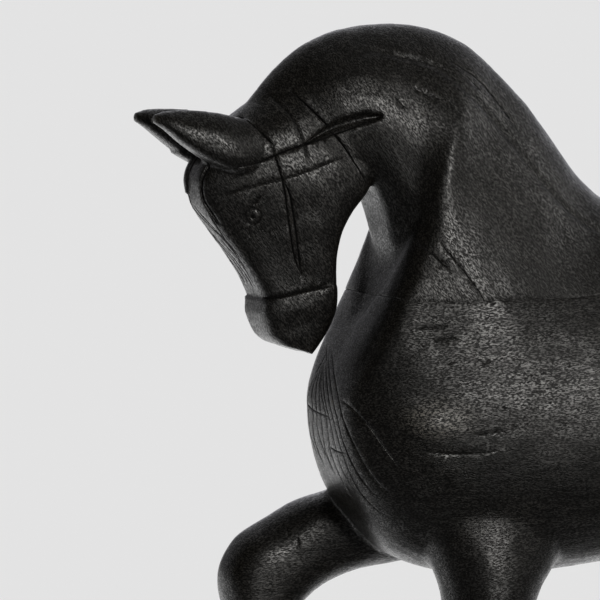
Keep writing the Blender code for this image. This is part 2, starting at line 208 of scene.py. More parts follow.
# Handling has left clouds in the stain: inside them more fibres are bare, and the ground is smoother
CLOUD_NOISE = {"Scale": 26.0, "Detail": 3.0}
CLOUD_RIM = (0.35, 0.68)
BARE_OUT_OF_CLOUD = 0.4
BARE_MORE_IN_CLOUD = 0.6
ROUGHNESS = 0.38
ROUGHNESS_ADDED_IN_CLOUD = -0.08
ROUGHNESS_ADDED_IN_PORES = 0.25


def stained_wood(name):
    """A new black-stained wood: its node tree, its shader, and the place on the piece."""
    material = bpy.data.materials.new(name)
    material.use_nodes = True
    tree = material.node_tree
    shader = tree.nodes["Principled BSDF"]
    for socket, value in (
        ("Metallic", 0.0), ("Specular IOR Level", GROUND_SHINE), ("Coat IOR", POLISH_IOR),
        ("Coat Roughness", POLISH_ROUGHNESS),
    ):
        shader.inputs[socket].default_value = value
    place = node(tree, "ShaderNodeTexCoord").outputs["Object"]
    return material, tree, shader, place


def finish_wood(tree, shader, place, grain, relief):
    """Joins the grain to the shader: deep stain, bare fibres, rubbed ridges, sheen and relief."""
    height, pores, fibres = grain
    cloud = node(tree, "ShaderNodeTexNoise", {"Vector": place, **CLOUD_NOISE}).outputs["Fac"]
    cloudy = stepped(tree, cloud, *CLOUD_RIM)
    share = math_of(tree, "MULTIPLY_ADD", cloudy, BARE_MORE_IN_CLOUD, BARE_OUT_OF_CLOUD)
    bare = math_of(tree, "MULTIPLY", fibres, share)
    colour = blended(tree, bare, STAIN_DEEP, STAIN_THIN, "RGBA")
    colour = blended(tree, grouped(tree, WEAR, Vector=place)["Wear"], colour, STAIN_RUBBED, "RGBA")
    tree.links.new(colour, shader.inputs["Base Color"])
    rough = math_of(tree, "MULTIPLY_ADD", cloudy, ROUGHNESS_ADDED_IN_CLOUD, ROUGHNESS)
    rough = math_of(tree, "MULTIPLY_ADD", pores, ROUGHNESS_ADDED_IN_PORES, rough)
    tree.links.new(rough, shader.inputs["Roughness"])
    polish = math_of(tree, "MULTIPLY", fibres, math_of(tree, "SUBTRACT", 1.0, pores))
    tree.links.new(polish, shader.inputs["Coat Weight"])
    bump = node(tree, "ShaderNodeBump", {"Height": height, "Strength": 1.0, "Distance": relief * MM})
    tree.links.new(bump.outputs[0], shader.inputs["Normal"])


def new_piece(name, bm, material, node_name):
    """The bmesh as a smooth-shaded piece with the material, hung on the root, with the imported part of
    that name hidden.
    """
    mesh = bpy.data.meshes.new(name)
    bm.to_mesh(mesh)
    bm.free()
    mesh.shade_smooth()
    mesh.materials.append(material)
    piece = bpy.data.objects.new(name, mesh)
    bpy.context.scene.collection.objects.link(piece)
    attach(piece, "root")
    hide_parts(node_name)
    return piece


PLINTH_RELIEF = 0.3
PLINTH_GRAIN = {"Length": 7.0, "Width": 0.9}
GRAIN = ("Height", "Pores", "Fibres")


def plinth_material():
    material, tree, shader, place = stained_wood("stained_board")
    grain = grouped(tree, PORES, Vector=place, **PLINTH_GRAIN)
    finish_wood(tree, shader, place, [grain[name] for name in GRAIN], PLINTH_RELIEF)
    return material


low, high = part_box("plinth")
bm = bmesh.new()
bmesh.ops.create_cube(bm, size=1)
bmesh.ops.transform(bm, matrix=Matrix.Diagonal((*(high - low), 1)), verts=bm.verts)
bmesh.ops.translate(bm, vec=(low + high) / 2, verts=bm.verts)
for axis, size in enumerate(high - low):
    along = [e for e in bm.edges if abs(abs((e.verts[0].co - e.verts[1].co)[axis]) - size) < MM]
    cuts = max(1, round(size / (PLINTH_CELL * MM)) - 1)
    bmesh.ops.subdivide_edges(bm, edges=along, cuts=cuts, use_grid_fill=True)
sharp = [e for e in bm.edges if e.calc_face_angle(0) > 1]
bmesh.ops.bevel(
    bm, geom=sharp, offset=PLINTH_EDGE * MM, affect="EDGES", segments=3, profile=0.5, material=-1,
)
bm.normal_update()
for vertex in bm.verts:
    if vertex.co.z > low.z + MM:
        dip = noise.noise(Vector([c * pitch for c, pitch in zip(vertex.co, PLANE_MARKS_PER_METRE)]))
        vertex.co -= vertex.normal * PLANE_MARKS * MM * (0.5 + 0.5 * dip)
new_piece("plinth_block", bm, plinth_material(), "plinth")


# The horse
# One carving in hardwood, from a blank glued up of two boards: the seam runs across it low in the
# neck. It is sawn out, rounded with gouges and rasps, scored with a V tool along the bridle, then
# stained black and rubbed. A smooth skin runs through the cross-sections of each part below.

STAND_BACK = 25.0
SOLE = 22.3
RING_SIDES = 56
RINGS_PER_SPAN = 5
VOXEL = 1.3

# A cross-section: the front or upper point (x, z), the back or lower point (x, z), where its middle
# lies across the horse, its half width at the first point, halfway and at the second point, and how
# square it is at either end, where 2 is an ellipse and 8 is nearly a box. One number stands for all.
BODY = (
    ((219, 306), (213, 268), 0, (16, 20, 18), 2.2),
    ((214, 322), (206, 244), 0, (29, 38, 34), 2.2),
    ((200, 338), (187, 224), 0, (37, 48, 44), 2.2),
    ((176, 350), (159, 210), 0, (38, 52, 47), 2.2),
    ((146, 351), (129, 201), 0, (37, 51, 49), 2.2),
    ((112, 345), (101, 193), 0, (35, 49, 49), 2.2),
    ((78, 343), (67, 187), 0, (34, 50, 50), 2.2),
    ((50, 350), (28, 183), 0, (33, 50, 52), 2.2),
    ((31, 361), (-18, 180), 0, (32, 49, 53), 2.2),
    ((19.5, 368.5), (-58, 182), 0, (31, 47, 51), 2.2),
    ((9.5, 378), (-88, 192), 0, (29, 45, 46), (2.2, 2.6)),
    ((1, 389), (-106.5, 209), 0, (27, 43, 39), (2.2, 3.5)),
    ((-8, 401), (-118.5, 230), 0, (24, 40, 33), (2.2, 5)),
    ((-18, 413), (-124.8, 254), 0, (21, 37, 29), (2.2, 6)),
    ((-31, 425.5), (-124.2, 277), 0, (18, 34, 25), (2.3, 6)),
    ((-46, 438.3), (-110.5, 304), 0, (16, 31, 7), (2.4, 4)),
    ((-60, 445.7), (-98.5, 320), 0, (15, 28, 10.5), (2.4, 5)),
    ((-78, 450.3), (-93, 336), 0, (14, 25, 14.5), (2.4, 5)),
    ((-98, 451), (-96, 351), 0, (13.5, 23, 14.5), (2.4, 4.5)),
    ((-119, 448), (-98.5, 362), 0, (13, 21.5, 13.5), (2.4, 4.5)),
    ((-137, 440.5), (-102, 370.5), 0, (12.5, 20, 15), (2.4, 4.5)),
    ((-152, 428.5), (-105, 376), 0, (12, 18, 18), (2.4, 4)),
    ((-165, 413), (-112, 380), 0, (12, 18, 18), (2.6, 3)),
)
HEAD = (
    ((-161, 416), (-112, 398), 0, (12, 17, 17), 2.8),
    ((-178, 404), (-108, 389), 0, (13, 19, 19), (3.5, 3)),
    ((-186.5, 392.5), (-103, 381), 0, (12.8, 20, 20), (5, 4)),
    ((-193.2, 381), (-104, 376), 0, (12.2, 20, 20), (7, 5)),
    ((-192.8, 372), (-108, 370), 0, (11.4, 19.5, 20), (8, 6)),
    ((-190, 364), (-114, 363), 0, (10.8, 18.5, 19.5), (8, 6)),
    ((-182.5, 354), (-120, 353), 0, (10.8, 17.5, 19), (8, 6)),
    ((-174, 343), (-122.8, 342), 0, (11.6, 16.5, 18), (8, 6)),
    ((-166.3, 332), (-123, 331), 0, (12.6, 15.8, 17), (8, 6)),
    ((-161, 322), (-122.5, 320), 0, (13.2, 15.6, 16), (8, 6)),
    ((-160.6, 314), (-123.5, 311), 0, (13.4, 15.4, 15), (8, 5)),
    ((-158, 304), (-128, 302), 0, (12.8, 14.6, 13.5), (7, 5)),
    ((-152, 299), (-134.5, 293.5), 0, (12.2, 13.6, 12.5), (6, 5)),
)
FORELEG_DOWN = (
    ((-82, 250), (-12, 262), -12, 13, 2.2),
    ((-90, 222), (0, 222), -17, (20, 21, 18), 2.2),
    ((-81, 198), (-8, 194), -22.5, (18, 20, 16), 2.2),
    ((-73.5, 177), (-22, 174), -26, (16, 18, 15), 2.2),
    ((-72, 156), (-31, 154), -28, 15.5, 2.2),
    ((-72, 136), (-37, 135), -28, 13.5, 2.3),
    ((-73, 118), (-38, 117), -28, 14, 2.6),
    ((-69, 101), (-41, 99), -28, 11.5, 2.4),
    ((-68, 78), (-42, 77), -28, 10.5, 2.4),
    ((-70, 60), (-40, 55), -28, 12.5, 2.4),
    ((-72, 47), (-43, 42), -28, 12.5, 2.4),
    ((-79, 38), (-42, 37), -28, (15.5, 15.5, 14), 2.5),
    ((-85, 24), (-40, 24), -28, (17.5, 18, 15.5), 2.5),
    ((-88, 16), (-39, 16), -28, (18.5, 19, 16), 2.5),
)
FORELEG_RAISED = (
    ((-80, 240), (-24, 200), 17, 15, 2.2),
    ((-93, 229), (-45, 190), 21, (18, 20, 17), 2.2),
    ((-109, 223), (-74, 185), 25, (17, 18, 15), 2.2),
    ((-127, 217.5), (-94, 182), 28, 16.5, 2.2),
    ((-144, 209), (-109, 177.5), 29, 15.5, 2.2),
    ((-157.5, 201), (-119, 172), 29, 15, 2.4),
    ((-166, 187), (-127, 164.5), 29, 14.5, 2.6),
    ((-165.5, 171), (-130, 156), 29, 14, 2.6),
    ((-157, 153), (-128, 144), 28.5, 11.5, 2.4),
    ((-146, 134), (-120, 126), 28, 10.5, 2.4),
    ((-136, 117), (-109, 109), 28, 11, 2.4),
    ((-128, 107), (-99, 96), 28, 12.5, 2.4),
    ((-121, 98), (-92, 86), 28, 12.5, 2.4),
    ((-121, 88), (-84, 78), 28, (15, 15.5, 14), 2.5),
    ((-118, 73), (-75, 66), 28, (17, 17.5, 15), 2.5),
)
HINDLEG = (
    ((132, 284), (206, 298), 14, 15, 2.2),
    ((114, 254), (213, 268), 22, (18, 22, 19), 2.2),
    ((106, 227), (208, 238), 26.5, (19, 21.5, 18), 2.2),
    ((111, 203), (197, 209), 29, (17, 19, 15), 2.2),
    ((126, 180), (188, 184), 30, (15, 17, 12), 2.2),
    ((143, 160), (187, 165), 30, (13, 14, 11), 2.3),
    ((156, 142), (194, 150), 30, 12, 2.4),
    ((163, 124), (199, 131), 30, 12.5, 2.6),
    ((164, 108), (193, 111), 30, 11.5, 2.5),
    ((159, 88), (185, 90), 30, 10.5, 2.4),
    ((154, 70), (180, 71), 30, 10.5, 2.4),
    ((149, 57), (179, 53), 30, 12.5, 2.4),
    ((146, 46), (175, 42), 30, 12.5, 2.4),
    ((139, 38), (175, 37), 30, (15.5, 15.5, 14), 2.5),
    ((133, 24), (177, 24), 30, (17.5, 18, 15.5), 2.5),
    ((130, 16), (178, 16), 30, (18.5, 19, 16), 2.5),
)
RIGHT_HIND_SHIFT = -3.0
LEFT_HIND_SHIFT = -37.0
TAIL = (
    ((192, 338), (188, 314), 0, 13, 2.2),
    ((209, 343), (203, 313), 0, 13.5, 2.2),
    ((226, 339), (212, 308), 0, 14.5, 2.2),
    ((240, 322), (217, 297), 0, (15, 16, 13), 2.2),
    ((247, 296), (217, 281), 0, (15, 18, 13), 2.2),
    ((249, 262), (216, 256), 0, (15, 19.5, 14), 2.2),
    ((249, 224), (216, 224), 0, (14, 19, 14), 2.2),
    ((248, 186), (219, 189), 0, (12, 16.5, 12), 2.2),
    ((247, 152), (224, 156), 0, (9, 12.5, 9), 2.2),
    ((247, 124), (232, 128), 0, (5, 7.5, 5), 2.2),
    ((249, 106), (243, 107), 0, 2.2, 2.2),
)
EAR = (
    ((-146, 398), (-144, 386), 2, 6, 2.4),
    ((-158, 402.5), (-156, 383), 6.5, 8, 2.4),
    ((-170, 406.5), (-168, 381), 10.5, (5, 8.5, 8), (2.2, 3)),
    ((-182, 409.5), (-179.5, 382.5), 12, (3.4, 8, 7.2), (2.4, 5)),
    ((-194, 411.3), (-191.5, 387.8), 12, (2.6, 7.2, 6.2), (2.4, 7)),
    ((-204, 411.7), (-203, 395.4), 12, (2.4, 6, 5.4), (2.4, 7)),
    ((-211.5, 411.3), (-211.5, 402.2), 12, (2.2, 4.4, 4.0), (2.4, 6)),
    ((-217.5, 409.4), (-217.8, 405.8), 12, 2.4, 3),
)
EAR_HOLLOW = (
    ((-178, 401), (-177, 395), 8.2, 2, 2.2),
    ((-185, 404.5), (-184, 389.5), 8, 4.2, 2.2),
    ((-194, 406.5), (-193, 391.5), 7.8, 4.4, 2.2),
    ((-203, 407), (-202.5, 398.5), 8.2, 3.6, 2.2),
    ((-210, 407.5), (-209.6, 404), 8.8, 2, 2.2),
)
LEFT_HOLLOW_IN = 3.5


def moved(stations, x=0.0, y=0.0, y_side=1.0):
    """The same sections pushed along or across, or turned to the other side with y_side -1."""
    return [
        ((first[0] + x, first[1]), (second[0] + x, second[1]), middle * y_side + y, widths, square)
        for first, second, middle, widths, square in stations
    ]


def curve_through(points, steps):
    """Catmull-Rom rows through the given rows of numbers."""
    points = [np.array(point, dtype=float) for point in points]
    padded = [points[0], *points, points[-1]]
    rows = []
    for i in range(1, len(points)):
        before, here, there, after = padded[i - 1 : i + 3]
        for t in np.arange(steps) / steps:
            rows.append(0.5 * (
                2 * here + (there - before) * t + (2 * before - 5 * here + 4 * there - after) * t**2
                + (3 * here - before - 3 * there + after) * t**3
            ))
    return [*rows, points[-1]]


def smooth_rows(stations):
    """Rows of section numbers that run smoothly through the stations."""
    flat = []
    for first, second, y, widths, square in stations:
        widths = widths if isinstance(widths, tuple) else (widths,) * 3
        square = square if isinstance(square, tuple) else (square,) * 2
        flat.append((*first, *second, y, *widths, *square))
    return curve_through(flat, RINGS_PER_SPAN)


def lay_section(circle, row):
    """Moves the points of a unit circle onto one cross-section, a squared ellipse."""
    ax, az, bx, bz, y, first_width, middle_width, last_width, first_square, last_square = row
    middle = Vector(((ax + bx) / 2 - STAND_BACK, y, (az + bz) / 2))
    reach = Vector(((ax - bx) / 2, 0, (az - bz) / 2))
    bow = (first_width + last_width) / 2 - middle_width
    for vertex in circle:
        power = 2 / (first_square if vertex.co.y > 0 else last_square)
        along = math.copysign(abs(vertex.co.y) ** power, vertex.co.y)
        across = math.copysign(abs(vertex.co.x) ** power, vertex.co.x)
        width = middle_width + (first_width - last_width) / 2 * along + bow * along**2
        vertex.co = (middle + reach * along + Vector((0, across * width, 0))) * MM


def skin(stations):
    """A closed skin through the stations, as a mesh."""
    bm = bmesh.new()
    rings = []
    for row in smooth_rows(stations):
        circle = bmesh.ops.create_circle(bm, segments=RING_SIDES, radius=1)["verts"]
        lay_section(circle, row)
        rings.append(list({edge for vertex in circle for edge in vertex.link_edges}))
    for ring, following in zip(rings, rings[1:]):
        bmesh.ops.bridge_loops(bm, edges=ring + following)
    bmesh.ops.holes_fill(bm, edges=rings[0] + rings[-1])
    bmesh.ops.recalc_face_normals(bm, faces=bm.faces)
    mesh = bpy.data.meshes.new("skin")
    bm.to_mesh(mesh)
    bm.free()
    return mesh


def joined(name, station_lists):
    """An object whose mesh holds the closed skins of all the station lists."""
    bm = bmesh.new()
    for stations in station_lists:
        mesh = skin(stations)
        bm.from_mesh(mesh)
        bpy.data.meshes.remove(mesh)
    mesh = bpy.data.meshes.new(name)
    bm.to_mesh(mesh)
    bm.free()
    made = bpy.data.objects.new(name, mesh)
    bpy.context.scene.collection.objects.link(made)
    return made


def apply_modifiers(thing):
    graph = bpy.context.evaluated_depsgraph_get()
    mesh = bpy.data.meshes.new_from_object(thing.evaluated_get(graph))
    thing.modifiers.clear()
    thing.data = mesh


def horse_points(mesh):
    """The mesh's points in the horse's own millimetres."""
    flat = np.empty(len(mesh.vertices) * 3)
    mesh.vertices.foreach_get("co", flat)
    return flat.reshape(-1, 3) / MM + (STAND_BACK, 0, 0)


def weigh(thing, name, weights):
    group = thing.vertex_groups.new(name=name)
    for index in np.flatnonzero(weights > 0.01):
        group.add([int(index)], float(weights[index]), "REPLACE")
    return name


def smooth_where(thing, weights, rounds):
    """Rubs the surface down by the weight at each point."""
    smooth = thing.modifiers.new("rubbed_down", "SMOOTH")
    smooth.factor = 0.5
    smooth.iterations = rounds
    smooth.vertex_group = weigh(thing, "rubbed_down", weights)
    apply_modifiers(thing)
    thing.vertex_groups.clear()


# The blank is sawn and rasped to one rounded body. The head keeps crisper edges than the rest, and
# where a standing leg runs into the belly the corner is rounded off more.
HEAD_KEEP = ((-178, 0, 352), 110)
HEAD_RUBBING = 0.2
RUBBING_ROUNDS = 6
LEG_ROOTS = (((-44, -36, 206), 46), ((152, 36, 240), 52), ((118, -36, 240), 52))
ROOT_ROUNDS = 110

left_hind = moved(HINDLEG, x=LEFT_HIND_SHIFT, y_side=-1)
horse = joined("carved_horse", (
    BODY, HEAD, FORELEG_DOWN, FORELEG_RAISED, moved(HINDLEG, x=RIGHT_HIND_SHIFT), left_hind, TAIL,
    EAR, moved(EAR, y_side=-1),
))
remesh = horse.modifiers.new("one_body", "REMESH")
remesh.mode = "VOXEL"
remesh.voxel_size = VOXEL * MM
apply_modifiers(horse)
points = horse_points(horse.data)
from_head = np.linalg.norm((points - HEAD_KEEP[0]) * (1, 0, 1), axis=1) / HEAD_KEEP[1]
smooth_where(horse, np.clip(from_head**2, HEAD_RUBBING, 1), RUBBING_ROUNDS)
points = horse_points(horse.data)
near_root = np.zeros(len(points))
for middle, reach in LEG_ROOTS:
    near_root = np.maximum(near_root, 1 - (np.linalg.norm(points - middle, axis=1) / reach) ** 2)
smooth_where(horse, near_root, ROOT_ROUNDS)


# Lines scored with a V tool on both sides, as (x, z) points, each list with its width and depth
BROW_STRAP = ((-181, 383.5), (-168, 386), (-160, 389), (-150, 392.6), (-140.4, 395.3),
              (-128.5, 398.8), (-117, 402.4), (-105.4, 407))
LOWER_STRAP = ((-185, 370.8), (-167.7, 375.6), (-155.3, 378.4), (-142.4, 381.9), (-122.6, 389))
CHEEK_FRONT = ((-160.2, 394.2), (-157.2, 386.2), (-153.6, 372.4), (-150.7, 356.2), (-147.4, 341.4),
               (-143.7, 332.3))
CHEEK_BACK = ((-155.1, 378.1), (-151.2, 371.4), (-147.9, 356.7), (-145.2, 341.5), (-143.7, 332.3))
CROWN_STRAP = ((-174.2, 410.5), (-165.4, 401.7), (-158.7, 394.1))
POLL_LINE = ((-158.7, 421.1), (-148.9, 407.6), (-144.8, 397.6), (-141.4, 385.4))
THROAT_STRAP = ((-147.1, 419.7), (-136.3, 408.9), (-128.5, 400.3), (-120.1, 389.7), (-110.1, 374.2))
NOSE_STRAP = ((-166, 321), (-153.4, 322.5), (-144.3, 324.4), (-130.5, 327))
MANE_EDGE = ((-118, 434), (-103.7, 438.5), (-90.5, 435.4), (-73, 430.9), (-58, 419), (-39.4, 401.1),
             (-24, 382), (-8, 364), (12, 350), (36, 343))
MANE_CREASE = ((-64, 433), (-50, 424.5), (-38, 412), (-28, 399))
TAIL_LOCKS = (
    ((206, 330), (224, 322), (233, 300), (237, 262), (238, 224), (240, 170), (247, 120)),
    ((216, 318), (225, 300), (227, 262), (227, 224), (231, 180), (241, 130)),
    ((214, 334), (233, 316), (241, 296), (244, 262), (244, 224), (244, 180), (247, 140)),
    ((210, 318), (219, 298), (221, 262), (221, 224), (225, 184), (233, 150)),
)
EYE_NOTCHES = (((-165.0, 370.7), (-168.2, 366.4)), ((-169.6, 356.0), (-169.2, 351.4)))
BOTH_SIDES = (
    ((BROW_STRAP,), 1.1, 0.9),
    ((LOWER_STRAP,), 0.9, 0.5),
    ((CHEEK_FRONT, CHEEK_BACK, THROAT_STRAP), 1.0, 1.0),
    ((CROWN_STRAP, NOSE_STRAP), 1.0, 0.8),
    ((POLL_LINE,), 2.4, 0.5),
    ((MANE_EDGE,), 5.0, 0.8),
    ((MANE_CREASE,), 1.4, 0.6),
    (TAIL_LOCKS, 2.6, 1.3),
    (EYE_NOTCHES, 1.1, 0.6),
)

# Drying cracks in the near side: over the neck along the leaning grain, lower down along the level
NEAR_CRACKS = (
    ((-90, 347), (-83.7, 341.8), (-74.3, 332.2)), ((-79.5, 347), (-68, 333), (-58.5, 319.6)),
    ((-97.7, 417.1), (-91.9, 410.4)), ((-84, 420.5), (-77.2, 414.2)), ((-69.8, 415.2), (-63.5, 407)),
    ((-57.2, 426.2), (-49.3, 418.6)), ((-86.6, 420), (-80, 417.5)), ((-78, 417), (-74, 415.2)),
    ((-93.5, 306.2), (-85, 306.6), (-77.2, 307.7)), ((-85.1, 300.5), (-78, 301.3), (-72, 301)),
    ((-61.4, 288.5), (-56.2, 289.9)), ((-136.6, 207), (-136.4, 202.4)), ((-131.9, 201), (-131.5, 195.6)),
    ((-88, 247.5), (-72, 246), (-54, 246.8)), ((-66, 255), (-50, 256)),
    ((-125, 273), (-116, 262), (-108, 250), (-101, 240)),
)
NEAR_CRACK_CUT = (0.7, 0.35)

# The glue seam between the two boards: open at the front of the neck, then closing to a hair line
SEAM_HEIGHT = 319.0
SEAM_FRONT_RISE = 2.4
SEAM_OPEN = (-104.0, -96.0)
SEAM_REACH = 8.0
SEAM_CUT = (0.9, 0.8)
SEAM_HAIR = 0.22
SEAM_WAVE = (0.5, 9.0)
UPRIGHT = 0.9

# Growth rings that the flat of the chest lays bare, as (y, z) points: they start together under the
# throat and spread downwards. A crack runs across them, and a knot lies by the raised leg.
CHEST_RINGS = (
    ((9.4, 294), (-6, 283), (-17, 273), (-20.5, 265), (-25, 252), (-29, 235), (-33, 221)),
    ((9.4, 291), (-5, 279), (-15, 267), (-19, 255), (-23, 240), (-27, 227)),
    ((9.5, 289), (-3, 277), (-12.5, 262.7), (-18, 244.3), (-21, 228.2), (-25, 217)),
    ((10, 287), (-1, 274), (-8.5, 262), (-11.5, 250), (-13, 240), (-17, 228)),
    ((10, 287), (3, 275), (-4.2, 265), (-5.5, 255.4), (-5.2, 244.3), (-8, 234.8), (-13, 224)),
    ((10.4, 286), (4, 273), (1, 264), (1, 255), (0.5, 244), (-3, 234)),
    ((11, 285), (8.9, 274.6), (5.7, 264.2), (6.9, 258.3), (5.8, 251.7), (2, 244.3), (-2, 235)),
    ((12, 283), (13, 273), (10.2, 262.7), (12.3, 256), (12, 248), (8, 238)),
    ((14, 280), (18, 270), (17, 260), (17, 252), (13, 243)),
    ((15, 294), (8, 288)), ((12, 291), (14, 282)),
)
CHEST_RING_CUT = (0.9, 0.45)
CHEST_CRACKS = (((20, 266.5), (8, 264), (-8, 263)), ((-5, 248), (-12, 246.6), (-20, 246.4)))
CHEST_CRACK_CUT = (0.8, 0.6)
CHEST_HEIGHTS = (205.0, 300.0)
KNOT = (24.5, 228.5)
KNOT_SIZE = (1.6, 2.2)
KNOT_DEPTH = 1.5

# The forelock is a band down the forehead between two deep lines, as (y, z) points, and runs out in
# fine strands over the nose. Beyond its far line a block of the browband stands proud.
FORELOCK_LINES = (((2.6, 390), (3.6, 380), (6.1, 371), (6.9, 364)),
                  ((-11.2, 390), (-10.2, 380), (-9, 371), (-9.6, 364), (-9.8, 358)))
FORELOCK_CUT = (1.7, 1.5)
NOSE_STRANDS = (
    ((6.9, 366), (2, 358), (-5.3, 350), (-7, 343)), ((3, 366), (-1, 358), (-6.6, 350), (-8.6, 341)),
    ((0, 362), (-4.6, 352), (-8.4, 343)), ((8.4, 358), (5, 348), (2, 337), (1, 329)),
    ((5.6, 354), (1, 344), (-2, 334), (-3, 326)), ((-9, 362), (-6.6, 347), (-7, 336)),
    ((9.4, 348), (6.5, 338), (5.4, 328)), ((-1.5, 350), (-5, 340), (-6, 329)),
)
NOSE_STRAND_CUT = (1.2, 0.7)
BROW_BLOCK = (4.6, 370.6, 392.0)
BROW_BLOCK_PROUD = 1.0
FACE_END = -160.0

EYE = (-168.5, 360.9)
EYE_RADIUS = 3.8
EYE_RING_CUT = (1.0, 0.5)
EYE_PIT_CUT = (2.4, 1.1)
LEAF = ((-144, 394.5), (-134, 399.5), (-124, 403.5), (-114, 406), (-104.5, 407.3))
LEAF_WIDTH = 7.0
LEAF_DEPTH = 2.2
LEAF_POINT = 0.02
LEAF_BLUNTNESS = 1.7
CORONETS = (((-62, -28, 38), (0, 1)), ((152, 30, 38), (0, 1)), ((118, -30, 38), (0, 1)),
            ((-103, 28, 82.5), (-0.27, -0.96)))
CORONET_CUT = (2.2, 1.0)
CORONET_REACH = 32.0
SHOULDER = (-92.0, 259.0)
SHOULDER_SIZE = (15.0, 10.0)
SHOULDER_PROUD = 1.8
MUZZLE_STEP = 1.1
MUZZLE_BACK = -121.0
MUZZLE_BACK_FADE = 9.0
MUZZLE_FADE = (16.0, 8.0)

# A cut shallows out over this share of its length, down to this share of its depth
CUT_RUN_OUT = 0.12
CUT_END_DEPTH = 0.3
CURVE_STEPS = 5
CUT_REACH = 8.0
# Painted shade darkens cuts up to this wide: it fades out over this outer share of the half width, and
# cuts shallower than the full depth get less of it
WIDEST_SHADED = 2.5
SHADE_EDGE_SHARE = 0.5
FULL_SHADE_DEPTH = 0.9
FACING_SIDE = 0.3
FACING_FRONT = 0.45
# The mesh is halved twice near the cuts: once within the first reach, again within the second
FINER_NEAR_CUTS = (2.6, 1.0)
HORSE_TRIANGLES = 186000


def off_line(points, line):
    """How far each flat point lies from a smooth line, and how far along the line it is, 0 to 1."""
    line = np.array(curve_through(line, CURVE_STEPS))
    spans = np.linalg.norm(np.diff(line, axis=0), axis=1)
    starts = np.concatenate([[0], np.cumsum(spans)[:-1]])
    nearest = np.full(len(points), np.inf)
    place = np.zeros(len(points))
    for start, end, before, span in zip(line, line[1:], starts, spans):
        along = np.clip((points - start) @ (end - start) / span**2, 0, 1)
        off = np.linalg.norm(points - start - along[:, None] * (end - start), axis=1)
        closer = off < nearest
        nearest[closer] = off[closer]
        place[closer] = (before + along[closer] * span) / spans.sum()
    return nearest, place


def cut_depths(points, normals):
    """The depth the carving takes off at each point, how near the next cut is, and the painted shade in
    its cuts.
    """
    depth = np.zeros(len(points))
    near = np.full(len(points), np.inf)
    painted_cut_shade = np.zeros(len(points))

    def cut(off, width, deep, where, fade=1.0):
        inside = np.clip(1 - off / (width / 2), 0, 1)
        depth[where] = np.maximum(depth[where], deep * fade * inside)
        near[where] = np.minimum(near[where], off - width / 2)
        # Painted shade in the cut: darker towards its middle and where it is deeper
        painted_shade_here = fade * deep / FULL_SHADE_DEPTH * np.clip(inside / SHADE_EDGE_SHARE, 0, 1)
        painted_shade_here = np.minimum(painted_shade_here, 1) * (width < WIDEST_SHADED)
        painted_cut_shade[where] = np.maximum(painted_cut_shade[where], painted_shade_here)

    def cut_lines(lines, width, deep, where, flat):
        for line in lines:
            beside = (flat[where] > np.min(line, axis=0) - CUT_REACH) & (
                flat[where] < np.max(line, axis=0) + CUT_REACH
            )
            here = where[beside.all(axis=1)]
            off, place = off_line(flat[here], line)
            ends = np.minimum(place, 1 - place) / CUT_RUN_OUT
            cut(off, width, deep, here, np.minimum(CUT_END_DEPTH + (1 - CUT_END_DEPTH) * ends, 1))

    side_view = points[:, (0, 2)]
    front_view = points[:, (1, 2)]
    on_side = np.flatnonzero(abs(normals[:, 1]) > FACING_SIDE)
    on_near = np.flatnonzero(normals[:, 1] < -FACING_SIDE)
    forwards = normals[:, 0] < -FACING_FRONT
    on_face = np.flatnonzero(forwards & (points[:, 0] < FACE_END))
    lowest, highest = CHEST_HEIGHTS
    chest = forwards & (points[:, 2] > lowest) & (points[:, 2] < highest) & (points[:, 0] > FACE_END)
    on_chest = np.flatnonzero(chest)

    for lines, width, deep in BOTH_SIDES:
        cut_lines(lines, width, deep, on_side, side_view)
    cut_lines(NEAR_CRACKS, *NEAR_CRACK_CUT, on_near, side_view)
    cut_lines(CHEST_RINGS, *CHEST_RING_CUT, on_chest, front_view)
    cut_lines(CHEST_CRACKS, *CHEST_CRACK_CUT, on_chest, front_view)
    cut_lines(FORELOCK_LINES, *FORELOCK_CUT, on_face, front_view)
    cut_lines(NOSE_STRANDS, *NOSE_STRAND_CUT, on_face, front_view)
    from_knot = np.linalg.norm((front_view[on_chest] - KNOT) / KNOT_SIZE, axis=1)
    cut(from_knot * KNOT_SIZE[0], 2 * KNOT_SIZE[0], KNOT_DEPTH, on_chest)

    off, place = off_line(side_view[on_side], LEAF)
    place = np.clip(place, LEAF_POINT, 1 - LEAF_POINT) ** LEAF_BLUNTNESS
    half = LEAF_WIDTH / 2 * np.sqrt(np.sin(np.pi * place))
    hollow = LEAF_DEPTH * np.clip(1 - (off / half) ** 2, 0, 1)
    depth[on_side] = np.maximum(depth[on_side], hollow)
    near[on_side] = np.minimum(near[on_side], off - half)
    from_eye = np.linalg.norm(side_view[on_side] - EYE, axis=1)
    cut(abs(from_eye - EYE_RADIUS), *EYE_RING_CUT, on_side)
    cut(from_eye, *EYE_PIT_CUT, on_side)

    front, back = SEAM_OPEN
    upright = np.flatnonzero((abs(normals[:, 2]) < UPRIGHT) & (points[:, 0] > front - SEAM_REACH))
    opening = np.clip((back - points[upright, 0]) / (back - front), 0, 1)
    swing, length = SEAM_WAVE
    height = SEAM_HEIGHT + SEAM_FRONT_RISE * opening + swing * np.sin(points[upright, 0] / length)
    cut(abs(points[upright, 2] - height), *SEAM_CUT, upright, SEAM_HAIR + (1 - SEAM_HAIR) * opening)
    for point, (run_x, run_z) in CORONETS:
        apart = points - point
        close = np.flatnonzero(np.linalg.norm(apart, axis=1) < CORONET_REACH)
        cut(abs(apart[close, 0] * run_x + apart[close, 2] * run_z), *CORONET_CUT, close)
    return depth, near, painted_cut_shade


